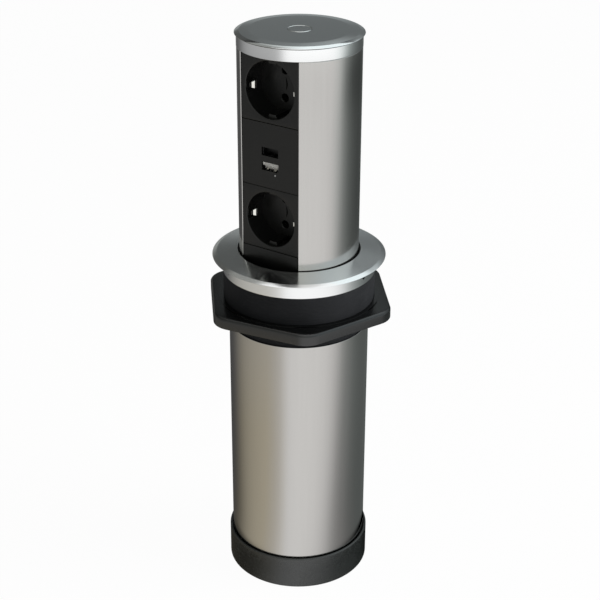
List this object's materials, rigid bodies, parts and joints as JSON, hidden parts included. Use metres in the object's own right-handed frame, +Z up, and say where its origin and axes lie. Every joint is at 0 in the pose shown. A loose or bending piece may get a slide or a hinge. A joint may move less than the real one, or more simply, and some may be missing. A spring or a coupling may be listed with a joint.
{
  "type": "pop up desk socket",
  "caption": "Round pop up desk socket: a column with plug sockets and charging ports lifts out of a tube that a flange and a screwed clamp nut hold in a desk.",
  "frame": {"origin": "on the column's axis at the underside of the base cap", "axes": "+Z up along the column, sockets facing -Y, +X to the right of the sockets"},
  "size_m": [0.1342, 0.1298, 0.4097],
  "materials": {
    "black_plastic": "fine moulded texture",
    "inner_plastic": "plain moulded",
    "satin_aluminium": "satin anodised",
    "turned_aluminium": "fine turned, clear anodised",
    "steel": "zinc plated",
    "painted_steel": "black paint",
    "rubber": "soft matt",
    "nickelled_brass": "nickel plated",
    "white_plastic": "glossy",
    "board": "solder mask"
  },
  "bodies": {
    "housing": {"base_cap": "black_plastic", "outer_tube": "satin_aluminium", "tube_plug": "steel", "base_screws": "steel", "cable_grommet": "rubber", "mounting_sleeve": "black_plastic", "guide_bush": "inner_plastic", "wiper_seal": "rubber", "collar": "turned_aluminium", "collar_screws": "steel", "gas_rod": "steel", "rod_nut": "steel"},
    "column": {"column_tube": "satin_aluminium", "lid": "turned_aluminium", "column_foot": "inner_plastic", "column_screws": "steel", "carrier_frame": "inner_plastic", "gas_cylinder": "painted_steel", "lever_pin": "steel", "lever_bracket": "steel", "bracket_screws": "steel", "socket_face_upper": "black_plastic", "socket_face_lower": "black_plastic", "contact_block_upper": "inner_plastic", "contact_block_lower": "inner_plastic", "live_bar": "nickelled_brass", "neutral_bar": "nickelled_brass", "earth_bar": "nickelled_brass", "usb_face": "black_plastic", "usb_shell_upper": "steel", "usb_shell_lower": "steel", "usb_tongue_upper": "inner_plastic", "usb_tongue_lower": "white_plastic", "usb_light": "white_plastic", "usb_board": "board", "usb_converter": "inner_plastic", "board_screws": "steel", "module_screws": "steel", "filler_panel": "black_plastic"},
    "button": {"release_button": "turned_aluminium"},
    "lever": {"release_lever": "steel"},
    "valve": {"valve_pin": "steel"},
    "washer": {"clamp_washer": "black_plastic"},
    "nut": {"clamp_nut": "black_plastic"}
  },
  "joints": [
    {"name": "column_slide", "type": "slide", "parent": "housing", "child": "column", "axis": [0, 0, 1], "range_m": [-0.153, 0]},
    {"name": "button_press", "type": "slide", "parent": "column", "child": "button", "axis": [0, 0, -1], "range_m": [0, 0.002], "stiffness_N_per_m": 900, "springref_m": -0.002},
    {"name": "lever_tilt", "type": "hinge", "parent": "column", "child": "lever", "pos_m": [0, 0.032, 0.40229], "axis": [1, 0, 0], "range_deg": [0, 3.63]},
    {"name": "valve_press", "type": "slide", "parent": "column", "child": "valve", "axis": [0, 0, -1], "range_m": [0, 0.000635]},
    {"name": "nut_turn", "type": "hinge", "parent": "washer", "child": "nut", "pos_m": [0, 0, 0.2153], "axis": [0, 0, 1], "range_deg": [0, 3456]},
    {"name": "nut_travel", "type": "slide", "parent": "housing", "child": "washer", "axis": [0, 0, 1], "range_m": [0, 0.0193]}
  ],
  "couplings": [
    {"joint": "lever_tilt", "follows": "button_press", "rad_per_m": 31.25},
    {"joint": "valve_press", "follows": "button_press", "ratio": 0.3125},
    {"joint": "nut_travel", "follows": "nut_turn", "m_per_rad": 0.00031831}
  ]
}
